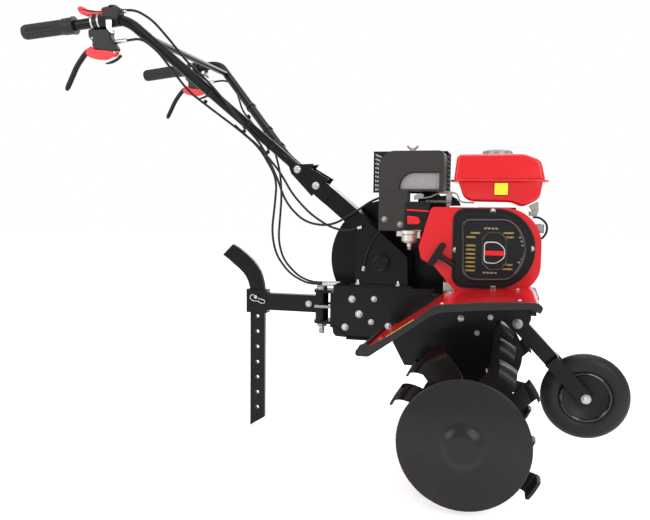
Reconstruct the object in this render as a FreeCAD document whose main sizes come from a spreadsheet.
"""Walk-behind rotary tiller: a petrol engine over a tined reel, with handlebars, drag bar and front wheel.

Lengths are millimetres and angles are degrees.  +X points forward, +Y to the machine's left and +Z up.
Each sub-part is drawn about the tine axle's centre and its Placement carries it to the machine's own
origin, which lies on the ground below the middle of the machine's length.
"""
import FreeCAD, Part
import Sketcher
import math
import operator
import os

os.makedirs("parts", exist_ok=True)
doc = FreeCAD.newDocument("RotaryTiller")

# ---------------------------------------------------------------- driving dimensions
SIZES = {
    "general": [
        ("run_gap", 0.05),          # radial clearance of a shaft in its bore
        ("part_gap", 0.3),          # clearance between neighbours that must not touch
        ("bolt_play", 0.15),        # radial clearance round a fixed bolt
        ("machine_length", 1480.5),          # over everything, along X
        ("machine_width", 930.0),          # over the side discs
        ("machine_height", 1095.0),          # from the ground to the throttle's top
    ],
    "tine reel": [
        ("tine_radius", 165.0),     # tip circle
        ("tine_width", 38.0),       # flat bar, measured round the axle
        ("tine_thick", 6.0),
        ("tine_reach", 52.0),       # sideways reach of the bent foot
        ("tine_sweep", 130.0),      # radius of the swept-back outer part
        ("band_straight", 85.0),    # straight run of a blade before its sweep starts
        ("tine_stand_off", 23.4),   # angle of the lowest tip corner from straight below
        ("flange_radius", 46.0),
        ("flange_thick", 6.0),
        ("hub_radius", 21.0),
        ("set_first", 128.0),       # centre of the first set from the centre plane
        ("set_pitch", 121.0),
        ("shaft_radius", 15.0),
        ("disc_radius", 134.0),
        ("disc_thick", 3.0),
        ("disc_dish", 14.0),        # how far the middle stands proud of the rim
        ("disc_hub_radius", 33.0),
        ("disc_cap", 6.0),          # raised cap in the middle
        ("tine_corner", 16.0),          # inside radius where a blade's foot turns sideways
        ("disc_ring_radius", 50.0),          # inner end of the disc's cone
    ],
    "gear case": [
        ("case_half", 33.0),        # half thickness of the lower case
        ("case_foot_radius", 58.0),
        ("case_rear_x", -203.0),
        ("case_front_x", 62.0),
        ("case_knee_z", 122.0),
        ("case_toe_x", -172.0),
        ("case_toe_z", 64.0),
        ("case_nose_x", 40.0),
        ("case_gusset", 24.0),
    ],
    "frame": [
        ("frame_inner", 62.0),      # half distance between the side plates
        ("frame_thick", 6.0),
        ("frame_rear_x", -360.0),
        ("frame_front_x", 70.0),
        ("frame_low_z", 129.0),
        ("frame_low_x", -326.0),
        ("frame_step_x", -225.0),
        ("frame_front_low_z", 195.0),
        ("frame_corner", 14.0),
        ("bed_z", 257.0),           # underside of the engine bed
        ("bed_thick", 6.0),
        ("bed_right_y", -150.0),
        ("bed_front_x", 150.0),
        ("bed_rear_x", -98.0),
        ("bed_corner", 12.0),
    ],
    "column": [
        ("column_slope", 39.8),     # fall of the column towards the front
        ("joint_x", -425.0),        # handle joint on the column's centre line
        ("joint_z", 527.0),
        ("column_length", 179.7),
        ("column_start", 25.0),
        ("column_height", 45.5),
        ("column_depth", 51.0),
        ("column_wall", 3.0),
        ("base_half", 55.0),
        ("base_rear_x", -306.0),
        ("base_front_x", -168.0),
        ("base_shoulder_x", -171.0),
        ("base_shoulder_z", 342.0),
        ("base_round", 18.0),
        ("base_flange_over", 10.0),
        ("base_flange_thick", 5.0),
        ("boss_radius", 21.0),
        ("boss_depth", 9.0),
        ("input_x", -237.0),
        ("input_z", 324.0),
        ("bracket_thick", 4.0),
        ("bolt_radius", 5.0),
        ("bolt_high_s", 60.0),
        ("bolt_low_s", -7.0),
        ("bolt_n", -1.0),
        ("bolt_head_radius", 9.0),
        ("bolt_head_depth", 6.0),
        ("bracket_rear_s", -88.0),
        ("bracket_rear_n", -8.0),
        ("bracket_peak_s", -35.0),
        ("bracket_peak_n", 39.0),
        ("bracket_step_n", 25.0),
        ("bracket_brow_s", 22.0),
        ("bracket_brow_n", 35.0),
        ("bracket_front_s", 54.0),
        ("bracket_toe_s", 16.0),
        ("bracket_toe_n", -30.0),
        ("bracket_heel_s", -67.0),
        ("bracket_heel_n", -20.5),
    ],
    "handlebars": [
        ("bar_radius", 12.5),
        ("bar_wall", 2.0),
        ("bar_pitch", 25.4),        # distance between the two tubes at the joint
        ("bar_end_s", -20.0),
        ("bar_knee_s", 112.0),
        ("bar_tip_y", 299.0),
        ("knee_radius", 70.0),
        ("cross_share", 0.125),     # place of the crossbar along the sloping tube
        ("cross_radius", 8.0),
        ("grip_length", 138.0),
        ("grip_radius", 17.0),
        ("grip_play", 0.1),
        ("grip_cap", 4.0),
        ("grip_flange_radius", 21.5),
        ("grip_flange_thick", 5.0),
        ("crook_run", 268.0),          # grip end of a tube, measured along X
        ("crook_y", 283.0),
        ("crook_radius", 66.0),
        ("tip_fall", 24.0),
        ("throttle_fall", 1.93),          # the throttle sits this far below the crook's own top
    ],
    "controls": [
        ("lever_pivot_s", 225.0),
        ("lever_pivot_drop", 76.5),
        ("lever_elbow_s", 155.0),
        ("lever_elbow_drop", 69.0),
        ("lever_tip_s", 90.0),
        ("lever_tip_drop", 154.0),
        ("lever_thick", 10.0),
        ("lever_width", 15.0),
        ("sleeve_width", 19.0),
        ("sleeve_thick", 15.0),
        ("mount_start", 166.0),
        ("mount_length", 64.0),
        ("mount_chin", 9.0),
        ("mount_thick", 22.0),
        ("clamp_length", 14.0),
        ("clamp_radius", 17.0),
        ("throttle_start", 207.0),
        ("throttle_length", 53.0),
        ("throttle_height", 21.0),
        ("throttle_half", 11.0),
        ("thumb_length", 63.0),
        ("thumb_width", 12.0),
        ("thumb_thick", 6.0),
        ("left_shift", 24.0),          # the left lever sits this much nearer its grip's end
    ],
    "cables": [
        ("route_unit", 1.0),        # the cables' routes are given in this unit
        ("cable_radius", 3.0),
        ("stop_cable_radius", 2.0),
        ("adjuster_radius", 5.0),
        ("adjuster_length", 40.0),
        ("adjuster_drop", 52.0),    # below the grip's axis
        ("lead_length", 36.0),      # straight part of a cable ahead of its adjuster
        ("ferrule_length", 12.0),
        ("throttle_drop", 7.5),     # height of the throttle cable over the tube's skin
    ],
    "fenders": [
        ("fender_inner_right", 151.0),
        ("fender_inner_left", 122.0),
        ("fender_thick", 2.5),
        ("fender_z", 268.0),        # underside of the level part
        ("fender_front_x", 133.0),
        ("fender_nose_x", 143.0),
        ("fender_nose_z", 272.0),
        ("fender_knee_x", -58.0),
        ("fender_low_x", -210.0),
        ("fender_low_z", 182.0),
        ("lip_width", 12.0),
        ("lip_below", 13.0),
        ("lip_above", 6.0),
        ("stay_x", 120.0),
        ("stay_width", 12.0),
        ("stay_thick", 19.5),
        ("stay_short", 14.0),       # the stays end this far inside the fender's edge
        ("rear_stay_x", -197.0),
        ("rear_stay_low_z", 138.0),
        ("rear_stay_mid_z", 157.0),
        ("fender_set_in", 8.0),          # the fenders end this far inside the side discs
        ("fender_front_z", 284.0),          # underside where the nose begins
    ],
    "engine": [
        ("crank_x", 44.0),
        ("crank_z", 372.0),
        ("block_rear_x", -76.0),
        ("block_front_x", 118.0),
        ("block_right_y", -84.0),
        ("block_left_y", 64.0),
        ("block_top_z", 446.0),
        ("block_shoulder_z", 420.0),
        ("block_cut", 26.0),
        ("saddle_rear_x", 0.0),
        ("saddle_front_x", 92.0),
        ("crank_boss_radius", 26.0),
        ("head_rear_x", -178.0),
        ("head_low_z", 372.0),
        ("head_high_z", 474.0),
        ("head_half", 52.0),
        ("head_lean", 22.0),
        ("foot_thick", 10.0),
        ("shroud_left_x", -103.0),
        ("shroud_low_z", 273.0),
        ("shroud_top_z", 470.0),
        ("shroud_face_y", -150.0),
        ("recoil_left_x", -51.0),
        ("recoil_right_x", 136.0),
        ("recoil_low_z", 281.0),
        ("recoil_high_z", 468.0),
        ("recoil_face_y", -176.0),
        ("pull_length", 60.0),
        ("pull_radius", 8.0),
        ("pull_stem_radius", 6.0),
        ("tank_left_x", -46.0),
        ("tank_right_x", 148.0),
        ("tank_flange_left_x", -66.0),
        ("tank_flange_right_x", 167.0),
        ("tank_flange_z", 531.0),
        ("tank_flange_thick", 6.0),
        ("tank_top_z", 590.0),
        ("tank_slope_x", 142.0),
        ("tank_slope_z", 566.0),
        ("tank_low_z", 470.0),
        ("tank_low_left_x", -28.0),
        ("tank_low_right_x", 128.0),
        ("tank_right_y", -112.0),
        ("tank_left_y", 102.0),
        ("tank_inset", 14.0),
        ("cap_x", 44.0),
        ("cap_y", -8.0),
        ("cap_radius", 38.0),
        ("cap_height", 20.0),
        ("cap_neck_radius", 24.0),
        ("cleaner_left_x", -237.0),
        ("cleaner_right_x", -80.0),
        ("cleaner_low_z", 508.0),
        ("cleaner_top_z", 606.0),
        ("cleaner_right_y", -108.0),
        ("cleaner_left_y", -6.0),
        ("cleaner_round", 38.0),
        ("duct_right_x", -166.0),
        ("duct_low_z", 410.0),
        ("duct_left_y", -54.0),
        ("carb_right_x", -134.0),
        ("carb_top_z", 452.0),
        ("carb_x", -163.0),
        ("carb_y", -88.0),
        ("carb_half", 18.0),
        ("bowl_radius", 22.0),
        ("bowl_low_z", 372.0),
        ("muffler_left_x", -248.0),
        ("muffler_right_x", -92.0),
        ("muffler_low_z", 512.0),
        ("muffler_top_z", 596.0),
        ("muffler_right_y", 18.0),
        ("muffler_left_y", 114.1),
        ("stub_radius", 15.0),      # exhaust stub between cylinder and muffler
        ("stub_set_in", 45.0),
        ("shroud_waist_x", -131.0),
        ("shroud_waist_z", 375.0),
        ("shroud_chin_x", -125.0),
        ("shroud_chin_z", 346.0),
        ("shroud_neck_x", -92.0),
        ("shroud_neck_z", 328.0),
        ("shroud_foot_x", -44.0),
        ("shroud_big_round", 85.0),
        ("shroud_low_round", 66.0),
        ("dee_round", 91.0),
        ("dee_corner", 28.0),
        ("dee_flange", 5.0),
        ("dee_rim_inset", 9.0),
        ("dee_rim_high", 18.0),
        ("dee_dome_inset", 20.0),
        ("slot_left_x", -20.0),
        ("slot_width", 24.0),
        ("slot_long", 34.0),
        ("slot_high", 5.0),
        ("slot_pitch", 9.7),
        ("slot_rows", 7.0),
        ("slot_row_z", 380.0),
        ("slot_top_z", 420.0),
        ("slot_low_z", 318.0),
        ("slot_mid_x", 20.0),
        ("slot_right_x", 64.0),
        ("slot_deep", 7.0),
        ("pull_x", -86.0),
        ("pull_z", 358.6),
        ("pull_lean_angle", 31.0),
        ("pull_stem", 47.3),
        ("shroud_right_x", 150.0),
        ("tank_round", 30.0),
        ("tank_taper_angle", -9.0),
        ("tank_under_angle", 14.0),
        ("tank_brow_x", 108.0),
        ("notch_left_x", -187.0),
        ("notch_right_x", -90.0),
        ("notch_top_z", 553.0),
        ("notch_deep", 12.0),
        ("notch_round", 38.0),
        ("notch_sill", 4.0),
        ("guard_left_x", -272.0),
        ("guard_right_x", -80.0),
        ("guard_low_z", 505.0),
        ("guard_top_z", 612.0),
        ("guard_right_y", 3.0),
        ("guard_left_y", 116.0),
        ("guard_wall", 1.6),
        ("guard_slot_high", 6.5),
        ("guard_pitch", 11.4),
        ("guard_rows", 8.0),
        ("guard_end_slot", 7.5),
        ("guard_mid_slot", 22.0),
        ("guard_rib", 3.6),
    ],
    "belt cover": [
        ("cover_near_y", 68.0),
        ("cover_far_y", 116.0),
        ("cover_big_radius", 163.0),
        ("cover_small_radius", 72.0),
    ],
    "front wheel": [
        ("pivot_x", 106.0),
        ("pivot_z", 180.0),
        ("wheel_x", 273.5),
        ("wheel_z", 3.0),
        ("tyre_radius", 107.0),
        ("tyre_width", 44.0),
        ("rim_radius", 67.0),
        ("rim_web", 5.0),
        ("wheel_hub_radius", 17.0),
        ("wheel_hub_half", 27.5),
        ("axle_bolt_radius", 6.0),
        ("arm_height", 38.0),
        ("arm_half", 15.0),
        ("arm_wall", 3.0),
        ("fork_gap", 10.0),
        ("fork_thick", 5.0),
        ("fork_width", 34.0),
        ("lug_inner", 15.3),
        ("lug_thick", 6.0),
        ("lug_rear_x", 66.0),
        ("lug_front_x", 138.0),
        ("pivot_bolt_radius", 6.0),
        ("tyre_shoulder", 20.0),
        ("lug_toe", 10.0),
        ("lug_drop", 24.0),
        ("lug_back", 8.0),
        ("lug_ahead", 16.0),
        ("lug_round", 9.0),
    ],
    "drag bar": [
        ("hitch_x", -408.0),
        ("hitch_low_z", 160.0),
        ("hitch_high_z", 236.0),
        ("hitch_plate", 8.0),
        ("hitch_half", 26.0),
        ("hitch_over", 20.0),
        ("hitch_plate_half", 68.0),
        ("hitch_pin_tail", 14.0),
        ("hitch_pin_radius", 8.0),
        ("barrel_radius", 18.0),
        ("holder_z", 203.0),
        ("holder_height", 46.0),
        ("holder_half", 13.0),
        ("sleeve_rear_x", -622.0),
        ("sleeve_front_x", -562.0),
        ("sleeve_low_z", 171.0),
        ("sleeve_high_z", 236.0),
        ("sleeve_half", 13.0),
        ("drag_x", -592.0),
        ("drag_width", 42.0),
        ("drag_thick", 12.0),
        ("drag_gap", 0.35),
        ("drag_knee_z", 243.0),
        ("drag_knee_radius", 14.0),
        ("drag_neck", 122.0),
        ("drag_foot_rise", 26.0),
        ("drag_hole_radius", 5.0),
        ("drag_hole_z", 196.0),
        ("drag_hole_pitch", 41.0),
        ("drag_hole_count", 8.0),
        ("drag_lean_angle", 45.0),
    ],
}

sheet = doc.addObject("Spreadsheet::Sheet", "Sizes")


class Size(float):
    """A number that also carries the spreadsheet expression which gives it."""

    def __new__(cls, value, text):
        size = float.__new__(cls, value)
        size.text = text
        return size

    def __add__(self, other):
        return joined(self, "+", other)

    def __radd__(self, other):
        return joined(other, "+", self)

    def __sub__(self, other):
        return joined(self, "-", other)

    def __rsub__(self, other):
        return joined(other, "-", self)

    def __mul__(self, other):
        return joined(self, "*", other)

    def __rmul__(self, other):
        return joined(other, "*", self)

    def __truediv__(self, other):
        return joined(self, "/", other)

    def __rtruediv__(self, other):
        return joined(other, "/", self)

    def __neg__(self):
        return joined(0, "-", self)


OPERATIONS = {"+": operator.add, "-": operator.sub, "*": operator.mul, "/": operator.truediv}


def text_of(number):
    """Spreadsheet expression of a Size, or the plain number."""
    return number.text if isinstance(number, Size) else "%.9g" % number


def joined(left, sign, right):
    """Result of one arithmetic step, with its expression."""
    value = OPERATIONS[sign](float(left), float(right))
    return Size(value, "(%s %s %s)" % (text_of(left), sign, text_of(right)))


def cosine(angle):
    return Size(math.cos(math.radians(angle)), "cos(%s)" % text_of(angle))


def sine(angle):
    return Size(math.sin(math.radians(angle)), "sin(%s)" % text_of(angle))


def root(value):
    return Size(math.sqrt(value), "sqrt(%s)" % text_of(value))


class Sizes:
    """The named driving dimensions, one attribute each."""


def fill_sheet():
    """Write every driving dimension to its own cell and return them by name."""
    sizes = Sizes()
    row = 1
    for group, entries in SIZES.items():
        sheet.set("A%d" % row, group)
        row += 1
        for name, value in entries:
            sheet.set("A%d" % row, name)
            sheet.set("B%d" % row, repr(value))
            sheet.setAlias("B%d" % row, name)
            setattr(sizes, name, Size(value, "Sizes.%s" % name))
            row += 1
    doc.recompute()
    return sizes


s = fill_sheet()

# The reel stands on its lowest tine tips, and the origin is halfway between grip ends and wheel.
axle_z = s.tine_radius * cosine(s.tine_stand_off)
axle_x = s.machine_length / 2 - s.wheel_x - s.tyre_radius
s.bar_tip_x = s.wheel_x + s.tyre_radius + s.grip_cap - s.machine_length
s.crook_x = s.bar_tip_x + s.crook_run
s.crook_z = s.machine_height - axle_z - s.bar_radius - s.throttle_height + s.throttle_fall
s.bar_tip_z = s.crook_z - s.tip_fall
s.disc_plane = s.machine_width / 2 - s.disc_cap - s.disc_thick - s.disc_dish
s.fender_outer = s.disc_plane - s.fender_set_in
parts = []


def vec(x, y, z=0.0):
    return FreeCAD.Vector(float(x), float(y), float(z))


def bind(item, **sizes):
    """Set properties of a document object and tie those that are Sizes to the sheet."""
    for prop, size in sizes.items():
        setattr(item, prop, float(size))
        if isinstance(size, Size):
            item.setExpression(prop, size.text)


def place(item, x=0, y=0, z=0, angle=None, axis=(0, 1, 0)):
    """Put an object at a point, turned by an angle about an axis."""
    turn = FreeCAD.Rotation(FreeCAD.Vector(*axis), float(angle or 0))
    item.Placement = FreeCAD.Placement(vec(x, y, z), turn)
    for prop, size in (("x", x), ("y", y), ("z", z)):
        if isinstance(size, Size):
            item.setExpression("Placement.Base." + prop, size.text)
    if isinstance(angle, Size):
        item.setExpression("Placement.Rotation.Angle", angle.text)


def finish(item, label, x=0, y=0, z=0, angle=None, axis=(0, 1, 0)):
    """Name a finished sub-part and carry it from the tine axle's frame to the machine's frame."""
    item.Label = label
    place(item, axle_x + x, y, axle_z + z, angle, axis)
    parts.append(item)
    return item


# ---------------------------------------------------------------- sketches and features
def hold(sketch, kind, geometry, point, size):
    """Fix one distance of a point from the sketch origin."""
    if isinstance(size, Size) or float(size) != 0.0:
        index = sketch.addConstraint(Sketcher.Constraint(kind, -1, 1, geometry, point, float(size)))
        if isinstance(size, Size):
            sketch.setExpression("Constraints[%d]" % index, size.text)
        return
    axis = -2 if kind == "DistanceX" else -1
    sketch.addConstraint(Sketcher.Constraint("PointOnObject", geometry, point, axis))


def hold_point(sketch, geometry, point, x, y):
    hold(sketch, "DistanceX", geometry, point, x)
    hold(sketch, "DistanceY", geometry, point, y)


def circle(sketch, x, y, radius):
    """Circle with its centre and radius tied to the sheet."""
    index = sketch.addGeometry(Part.Circle(vec(x, y), FreeCAD.Vector(0, 0, 1), float(radius)), False)
    limit = sketch.addConstraint(Sketcher.Constraint("Radius", index, float(radius)))
    if isinstance(radius, Size):
        sketch.setExpression("Constraints[%d]" % limit, radius.text)
    hold_point(sketch, index, 3, x, y)


def corner_cut(before, corner, after, radius):
    """Tangent points, centre and arc angles that round one corner of an outline."""
    to_before = (before - corner).normalize()
    to_after = (after - corner).normalize()
    half = to_before.getAngle(to_after) / 2
    reach = float(radius) / math.tan(half)
    start = corner + to_before * reach
    end = corner + to_after * reach
    centre = corner + (to_before + to_after).normalize() * (float(radius) / math.sin(half))
    return start, end, centre


def outline(sketch, corners):
    """Closed outline through corners (x, y) or (x, y, radius), each tied to the sheet."""
    points = [vec(corner[0], corner[1]) for corner in corners]
    count = len(points)
    starts, ends, centres = [], [], []
    for i, corner in enumerate(corners):
        if len(corner) == 3:
            start, end, centre = corner_cut(points[i - 1], points[i], points[(i + 1) % count], corner[2])
        else:
            start, end, centre = points[i], points[i], None
        starts.append(start)
        ends.append(end)
        centres.append(centre)
    lines = []
    for i in range(count):
        lines.append(sketch.addGeometry(Part.LineSegment(ends[i], starts[(i + 1) % count]), False))
    for i, corner in enumerate(corners):
        before, after = lines[i - 1], lines[i]
        if centres[i] is None:
            sketch.addConstraint(Sketcher.Constraint("Coincident", before, 2, after, 1))
            hold_point(sketch, after, 1, corner[0], corner[1])
            continue
        left_turn = (points[i] - points[i - 1]).cross(points[(i + 1) % count] - points[i]).z > 0
        first, last = (starts[i], ends[i]) if left_turn else (ends[i], starts[i])
        turn = [math.atan2(p.y - centres[i].y, p.x - centres[i].x) for p in (first, last)]
        ring = Part.Circle(centres[i], FreeCAD.Vector(0, 0, 1), float(corner[2]))
        arc = sketch.addGeometry(Part.ArcOfCircle(ring, turn[0], turn[1]), False)
        enter, leave = (1, 2) if left_turn else (2, 1)
        sketch.addConstraint(Sketcher.Constraint("Tangent", before, 2, arc, enter))
        sketch.addConstraint(Sketcher.Constraint("Tangent", arc, leave, after, 1))
        index = sketch.addConstraint(Sketcher.Constraint("Radius", arc, float(corner[2])))
        if isinstance(corner[2], Size):
            sketch.setExpression("Constraints[%d]" % index, corner[2].text)
        mark = sketch.addGeometry(Part.Point(points[i]), True)
        sketch.addConstraint(Sketcher.Constraint("PointOnObject", mark, 1, before))
        sketch.addConstraint(Sketcher.Constraint("PointOnObject", mark, 1, after))
        hold_point(sketch, mark, 1, corner[0], corner[1])


FACING = {"XY_Plane": 1, "YZ_Plane": 1, "XZ_Plane": -1}


def new_body(name):
    return doc.addObject("PartDesign::Body", name)


def new_sketch(body, name, plane, level=0):
    """Sketch on one of the body's own origin planes, moved along the plane's axis to a level."""
    sketch = body.newObject("Sketcher::SketchObject", name)
    support = [item for item in body.Origin.OriginFeatures if item.Role == plane][0]
    sketch.AttachmentSupport = [(support, "")]
    sketch.MapMode = "FlatFace"
    offset = FACING[plane] * level
    sketch.AttachmentOffset = FreeCAD.Placement(vec(0, 0, offset), FreeCAD.Rotation())
    if isinstance(offset, Size):
        sketch.setExpression("AttachmentOffset.Base.z", offset.text)
    return sketch


def pad(body, plane, low, high, corners=(), circles=(), taper=0):
    """Pad an outline or circles from one level to another along the plane's axis."""
    level = low if FACING[plane] > 0 else high
    sketch = new_sketch(body, "Outline", plane, level)
    if corners:
        outline(sketch, corners)
    for ring in circles:
        circle(sketch, *ring)
    feature = body.newObject("PartDesign::Pad", "Pad")
    feature.Profile = sketch
    bind(feature, Length=high - low)
    if taper:
        bind(feature, TaperAngle=taper)
    return feature


def pocket(body, plane, low, high, corners=(), circles=()):
    """Cut an outline or circles from one level to another along the plane's axis."""
    level = high if FACING[plane] > 0 else low
    doc.recompute()
    before = body.Shape.Volume
    sketch = new_sketch(body, "Cut", plane, level)
    if corners:
        outline(sketch, corners)
    for ring in circles:
        circle(sketch, *ring)
    feature = body.newObject("PartDesign::Pocket", "Pocket")
    feature.Profile = sketch
    bind(feature, Length=high - low)
    doc.recompute()
    if body.Shape.Volume > before - 0.01:
        raise RuntimeError("a pocket in %s cuts nothing" % body.Name)
    return feature


def plate(label, plane, low, high, corners, circles=(), **where):
    """Flat sub-part: an outline padded from low to high, with round holes."""
    body = new_body(label)
    pad(body, plane, low, high, corners, circles)
    return finish(body, label, **where)


def revolve(body, corners, name="Revolution"):
    """Turn a profile, drawn as (y, radius) pairs, a full circle about the body's Y axis."""
    sketch = new_sketch(body, "Profile", "YZ_Plane")
    outline(sketch, corners)
    feature = body.newObject("PartDesign::Revolution", name)
    feature.Profile = sketch
    feature.ReferenceAxis = (sketch, ["H_Axis"])
    feature.Angle = 360
    return feature


def rounded_path(points, radii):
    """Wire of straight runs joined by tangent arcs at the inner points."""
    edges = []
    start = points[0]
    for i in range(1, len(points) - 1):
        enter, leave, centre = corner_cut(points[i - 1], points[i], points[i + 1], radii[i - 1])
        middle = centre + (points[i] - centre).normalize() * float(radii[i - 1])
        edges.append(Part.makeLine(start, enter))
        edges.append(Part.Arc(enter, middle, leave).toShape())
        start = leave
    edges.append(Part.makeLine(start, points[-1]))
    return Part.Wire(edges)


def swept_rod(points, radii, radius):
    """Round rod along a path of runs and arcs; its volume is checked against section times length."""
    path = rounded_path(points, radii)
    first = (points[1] - points[0]).normalize()
    ring = Part.Wire(Part.makeCircle(float(radius), points[0], first))
    rod = path.makePipeShell([ring], True, False)
    expected = math.pi * float(radius) ** 2 * path.Length
    if abs(rod.Volume - expected) > 0.01 * expected:
        raise RuntimeError("a rod's volume does not match its path")
    return rod


def shape_part(label, shape):
    """Sub-part whose shape is made with Part's own functions."""
    item = doc.addObject("Part::Feature", label)
    item.Shape = shape
    return finish(item, label)


SIDES = (("right", -1), ("left", 1))


def span(side, inner, outer):
    """Low and high Y level of something that lies between inner and outer on one side."""
    return (inner, outer) if side > 0 else (-outer, -inner)


# ---------------------------------------------------------------- tine reel
def loose_sketch(name, plane):
    """Sketch that stands by itself in the XZ or YZ plane, for a Part extrusion or revolution."""
    sketch = doc.addObject("Sketcher::SketchObject", name)
    if plane == "XZ":
        turn = FreeCAD.Rotation(FreeCAD.Vector(1, 0, 0), 90)
    else:
        turn = FreeCAD.Rotation(FreeCAD.Vector(0, 1, 0), FreeCAD.Vector(0, 0, 1), FreeCAD.Vector(1, 0, 0), "XYZ")
    sketch.Placement = FreeCAD.Placement(vec(0, 0, 0), turn)
    return sketch


def part_object(kind, name, **links):
    item = doc.addObject(kind, name)
    for prop, value in links.items():
        setattr(item, prop, value)
    return item


def extruded(sketch, half):
    """Extrude a loose XZ sketch the same distance either way along Y."""
    item = part_object("Part::Extrusion", "Extrusion", Base=sketch, DirMode="Custom", Solid=True,
                       Dir=FreeCAD.Vector(0, 1, 0))
    bind(item, LengthFwd=half, LengthRev=half)
    return item


def band_corner_angle(radius):
    """Angle at which one edge of the swept band, an arc of this radius, meets the tip circle."""
    along, across = s.band_straight, s.tine_sweep
    reach = root(along * along + across * across)
    tip = s.tine_radius
    ratio = (tip * tip + reach * reach - radius * radius) / (2 * tip * reach)
    gamma = math.degrees(math.atan2(across, along))
    beta = math.degrees(math.acos(ratio))
    text = "((atan2(%s; %s) - acos(%s)) / 1 deg)" % (across.text, along.text, ratio.text)
    return Size(gamma - beta, text)


def band(sketch, turn):
    """Side view of one blade: straight from the axle, then swept back in an arc, turned by 0 or 180."""
    sign = 1 if turn == 0 else -1
    half, sweep, start = s.tine_width / 2, s.tine_sweep, s.band_straight
    corners = []
    for radius in (sweep + half, sweep - half):
        first = sketch.GeometryCount
        turned = 270 if turn == 0 else 90
        ring = Part.Circle(vec(sign * start, sign * sweep), FreeCAD.Vector(0, 0, 1), float(radius))
        low, high = math.radians(turned), math.radians(turned + BAND_TURN)
        sketch.addGeometry(Part.ArcOfCircle(ring, low, high), False)
        index = sketch.addConstraint(Sketcher.Constraint("Radius", first, float(radius)))
        sketch.setExpression("Constraints[%d]" % index, radius.text)
        hold_point(sketch, first, 3, sign * start, sign * sweep)
        hold(sketch, "DistanceX", first, 1, sign * start)
        rise = math.radians(BAND_TURN)
        hold(sketch, "DistanceX", first, 2, sign * (start + radius * math.sin(rise)))
        corners.append(first)
    outer, inner = corners
    rim = [vec(0, -sign * half), vec(sign * start, -sign * half)]
    top = [vec(sign * start, sign * half), vec(0, sign * half)]
    lines = []
    ends = sketch.Geometry[outer].EndPoint, sketch.Geometry[inner].EndPoint
    for pair in (rim, top, [top[1], rim[0]], list(ends)):
        lines.append(sketch.addGeometry(Part.LineSegment(pair[0], pair[1]), False))
    low_line, top_line, root_line, end_line = lines
    for a, pa, b, pb in ((low_line, 2, outer, 1), (top_line, 1, inner, 1), (root_line, 1, top_line, 2),
                         (root_line, 2, low_line, 1), (end_line, 1, outer, 2), (end_line, 2, inner, 2)):
        sketch.addConstraint(Sketcher.Constraint("Coincident", a, pa, b, pb))
    hold(sketch, "DistanceX", root_line, 1, 0)
    hold(sketch, "DistanceX", root_line, 2, 0)
    sketch.addConstraint(Sketcher.Constraint("Horizontal", low_line))
    sketch.addConstraint(Sketcher.Constraint("Horizontal", top_line))


BAND_TURN = 60.0


def blade_pair(side):
    """Two opposite blades whose feet are bent to one side: a lipped disc met by two swept bands."""
    face, thick, tip = s.flange_thick / 2, s.tine_thick, s.tine_radius
    profile = loose_sketch("BladeProfile", "YZ")
    outline(profile, [
        (side * face, s.hub_radius), (side * face, tip, s.tine_corner + thick),
        (side * (face + s.tine_reach), tip), (side * (face + s.tine_reach), tip - thick),
        (side * (face + thick), tip - thick, s.tine_corner), (side * (face + thick), s.hub_radius),
    ])
    lipped = part_object("Part::Revolution", "LippedDisc", Source=profile, Axis=FreeCAD.Vector(0, 1, 0),
                         Angle=360, Solid=True)
    blades = loose_sketch("BladeBands", "XZ")
    band(blades, 0)
    band(blades, 180)
    bands = extruded(blades, s.tine_reach + s.flange_thick)
    if side < 0:
        bands.Placement = FreeCAD.Placement(vec(0, 0, 0), FreeCAD.Rotation(FreeCAD.Vector(0, 1, 0), 90))
    return part_object("Part::Common", "Blades", Base=lipped, Tool=bands)


def tine_set(label, centre, phase):
    """Hub tube and flange with four swept blades, two bent to each side."""
    flange = loose_sketch("FlangeOutline", "XZ")
    half = s.flange_radius
    corner = half * 0.45
    outline(flange, [(half, half, corner), (-half, half, corner), (-half, -half, corner), (half, -half, corner)])
    hub = loose_sketch("HubOutline", "XZ")
    circle(hub, 0, 0, s.hub_radius)
    bore = loose_sketch("BoreOutline", "XZ")
    circle(bore, 0, 0, s.shaft_radius)
    solids = [extruded(flange, s.flange_thick / 2), extruded(hub, s.set_pitch / 2)]
    solids += [blade_pair(1), blade_pair(-1)]
    fused = part_object("Part::MultiFuse", "TineSet", Shapes=solids)
    cut = part_object("Part::Cut", label, Base=fused, Tool=extruded(bore, s.set_pitch))
    finish(cut, label, y=centre, angle=phase, axis=(0, -1, 0))


def tine_reel():
    half = s.tine_width / 2
    trailing = band_corner_angle(s.tine_sweep - half)
    leading = band_corner_angle(s.tine_sweep + half)
    back = -(90 + s.tine_stand_off) - trailing
    ahead = -(90 - s.tine_stand_off) - leading
    shaft = new_body("TineShaft")
    end = s.set_first + s.set_pitch * 2.5
    pad(shaft, "XZ_Plane", -end, end, circles=[(0, 0, s.shaft_radius)])
    finish(shaft, "tine_shaft")
    for side_name, side in SIDES:
        for index, place_name in enumerate(("inner", "middle", "outer")):
            centre = side * (s.set_first + s.set_pitch * index)
            tine_set("tine_set_%s_%s" % (side_name, place_name), centre, back if index % 2 == 0 else ahead)
        side_disc(side_name, side, end)


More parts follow.
